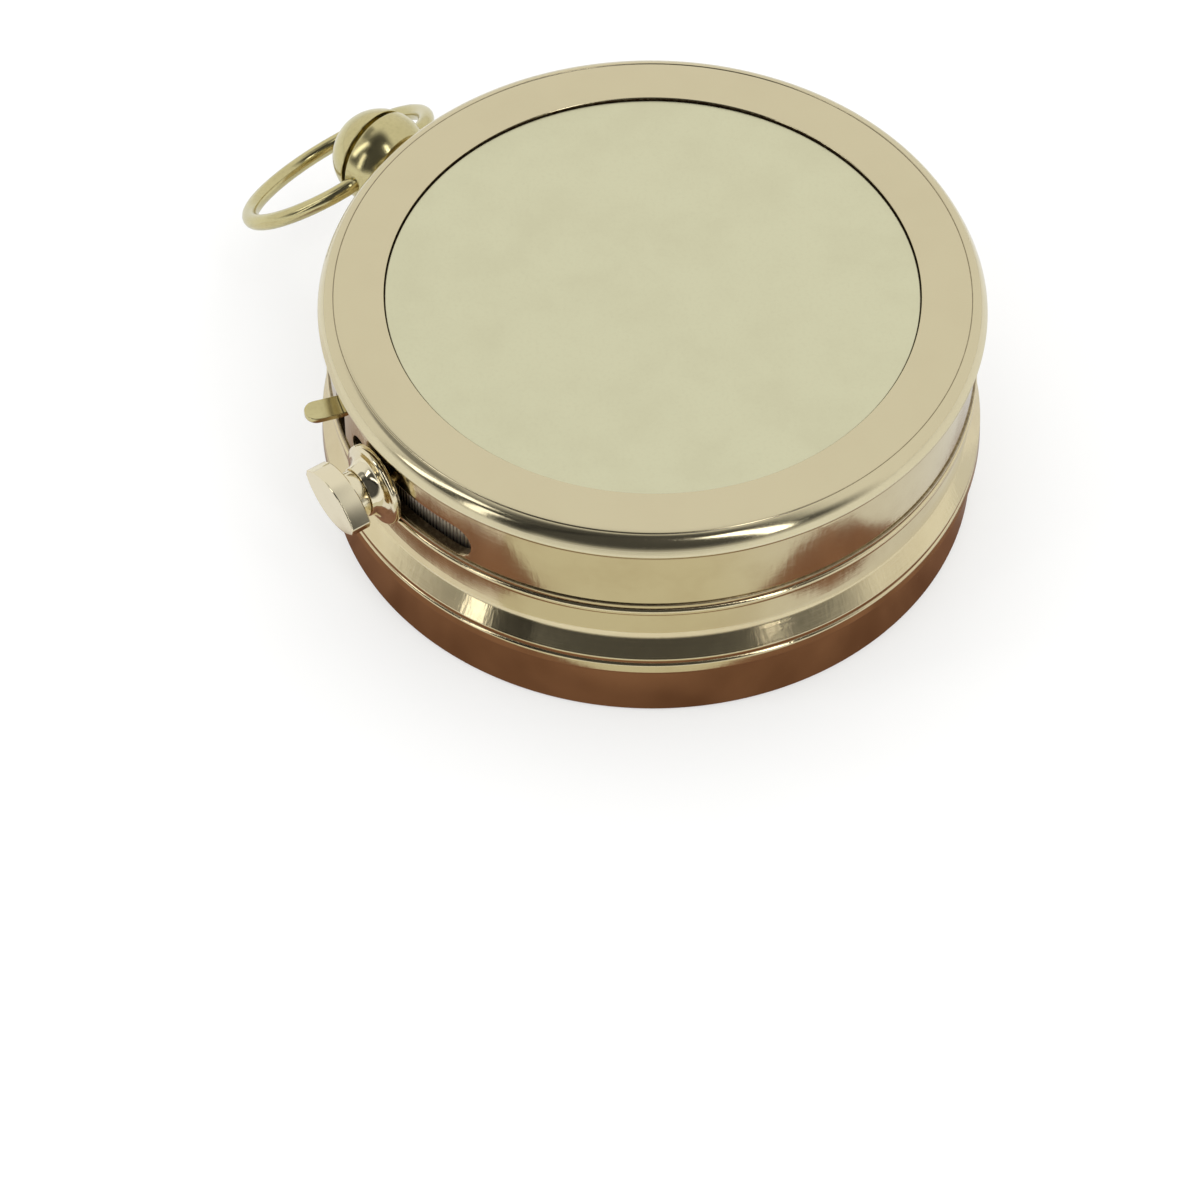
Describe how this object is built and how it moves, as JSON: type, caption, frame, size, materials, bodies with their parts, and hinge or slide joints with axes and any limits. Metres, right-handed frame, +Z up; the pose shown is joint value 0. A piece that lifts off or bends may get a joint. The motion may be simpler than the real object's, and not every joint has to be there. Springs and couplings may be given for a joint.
{
  "type": "pocket compass",
  "caption": "Round brass drum compass with a hinged lid, a turning card, a variation ring with a side clamp, a card lifter and a ring bail.",
  "frame": {"origin": "centre of the cup's flat underside, on the case's axis", "axes": "+Z up through the lid, +X to the right and +Y away from a viewer who has the clamp at the left front"},
  "size_m": [0.0863, 0.0824, 0.029],
  "materials": {
    "case_brass": "polished, with turning lines and dark grooves",
    "lid_brass": "polished edge around a satin flat ring",
    "plate_brass": "even satin",
    "olive_brass": "polished, lightly tarnished",
    "clamp_brass": "bright polished",
    "inner_brass": "fine turned",
    "dark_brass": "dark, finely knurled edge",
    "silvered": "silvered, satin, with black graduations",
    "steel": "bright",
    "magnet": "blued steel",
    "card": "printed dial card",
    "jewel": "polished",
    "gasket": "matte",
    "glass": "clear flat"
  },
  "bodies": {
    "case": {"case_base": "case_brass", "case_body": "case_brass", "plate_pillars": "inner_brass", "movement_plate": "inner_brass", "plate_screws": "steel", "ring_seat": "inner_brass", "pivot_post": "inner_brass", "post_nut": "inner_brass", "pivot_needle": "steel", "lifter_bracket": "inner_brass", "lifter_pin": "steel", "bracket_screws": "steel", "glass_gasket": "gasket", "glass": "glass", "glass_bezel": "case_brass", "index_point": "dark_brass", "hinge_pin": "steel", "pendant_stud": "case_brass", "pendant_collar": "case_brass", "pendant_ball": "olive_brass", "pendant_cap": "olive_brass"},
    "lid": {"lid_ring": "lid_brass", "lid_plate": "plate_brass"},
    "variation_ring": {"variation_ring": "dark_brass", "degree_ring": "silvered", "clamp_stud": "case_brass", "clamp_washer": "clamp_brass"},
    "thumb": {"clamp_thumb": "clamp_brass"},
    "lifter": {"card_lifter": "olive_brass"},
    "collar": {"lift_collar": "inner_brass"},
    "card": {"card_disc": "card", "card_hub": "inner_brass", "cap_jewel": "jewel", "card_magnets": "magnet", "balance_weight": "inner_brass"},
    "bail": {"ring_bail": "olive_brass"}
  },
  "joints": [
    {"name": "lid_hinge", "type": "hinge", "parent": "case", "child": "lid", "pos_m": [0.0303, 0.02122, 0.025], "axis": [-0.5736, 0.8192, 0], "range_deg": [0, 110]},
    {"name": "variation_turn", "type": "hinge", "parent": "case", "child": "variation_ring", "pos_m": [0, 0, 0.0205], "axis": [0, 0, 1], "range_deg": [-7, 18.5]},
    {"name": "thumb_turn", "type": "hinge", "parent": "variation_ring", "child": "thumb", "pos_m": [-0.03358, -0.02352, 0.02055], "axis": [-0.8192, -0.5736, 0], "range_deg": [0, 80]},
    {"name": "lifter_tilt", "type": "hinge", "parent": "case", "child": "lifter", "pos_m": [-0.00761, -0.00247, 0.0194], "axis": [0.309, -0.9511, 0], "range_deg": [0, 5.4]},
    {"name": "collar_lift", "type": "slide", "parent": "case", "child": "collar", "axis": [0, 0, 1], "range_m": [0, 0.00076]},
    {"name": "card_spin", "type": "hinge", "parent": "collar", "child": "card", "pos_m": [0, 0, 0.022], "axis": [0, 0, 1], "continuous": true},
    {"name": "bail_swing", "type": "hinge", "parent": "case", "child": "bail", "pos_m": [-0.03097, 0.0274, 0.0216], "axis": [-0.6626, -0.749, 0], "range_deg": [-148, 27]}
  ],
  "couplings": [
    {"joint": "collar_lift", "follows": "lifter_tilt", "m_per_rad": 0.008}
  ]
}
